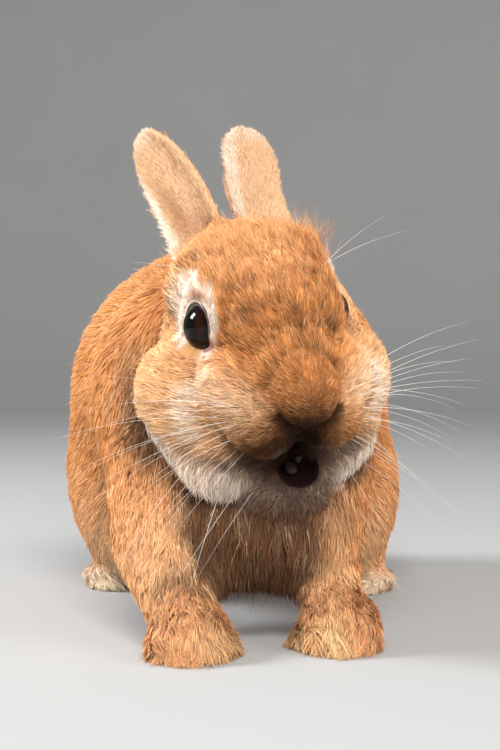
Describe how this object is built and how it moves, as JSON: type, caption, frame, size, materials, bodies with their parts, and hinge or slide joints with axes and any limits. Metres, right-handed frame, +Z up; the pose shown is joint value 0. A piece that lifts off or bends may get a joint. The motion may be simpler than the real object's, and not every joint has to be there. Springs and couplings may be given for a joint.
{
  "type": "rabbit",
  "caption": "Still life-size model of a small short-coated pet rabbit, crouching on all fours with its head low and turned, ears upright and mouth slightly open.",
  "frame": {"origin": "on the floor, under the middle of the whole rabbit's box", "axes": "+Z up; the rabbit faces -Y; +X is to its own left"},
  "size_m": [0.1286, 0.2272, 0.1689],
  "materials": {
    "coat": "short plush fur, rufous orange with cream and grey-white face markings",
    "eye": "wet, glossy, near black with a dark brown iris",
    "claw": "horn, satin",
    "tongue": "moist, soft pink",
    "tooth": "ivory enamel"
  },
  "bodies": {
    "root": {"trunk": "coat", "neck": "coat", "head": "coat", "jaw": "coat", "tail": "coat", "ear_left": "coat", "ear_right": "coat", "foreleg_left": "coat", "foreleg_right": "coat", "forepaw_left": "coat", "forepaw_right": "coat", "thigh_left": "coat", "thigh_right": "coat", "hindfoot_left": "coat", "hindfoot_right": "coat", "eye_left": "eye", "eye_right": "eye", "tongue": "tongue", "incisors": "tooth", "claw_fore_left_1": "claw", "claw_fore_left_2": "claw", "claw_fore_left_3": "claw", "claw_fore_left_4": "claw", "claw_fore_right_1": "claw", "claw_fore_right_2": "claw", "claw_fore_right_3": "claw", "claw_fore_right_4": "claw", "claw_hind_left_1": "claw", "claw_hind_left_2": "claw", "claw_hind_left_3": "claw", "claw_hind_left_4": "claw", "claw_hind_right_1": "claw", "claw_hind_right_2": "claw", "claw_hind_right_3": "claw", "claw_hind_right_4": "claw"}
  },
  "joints": []
}
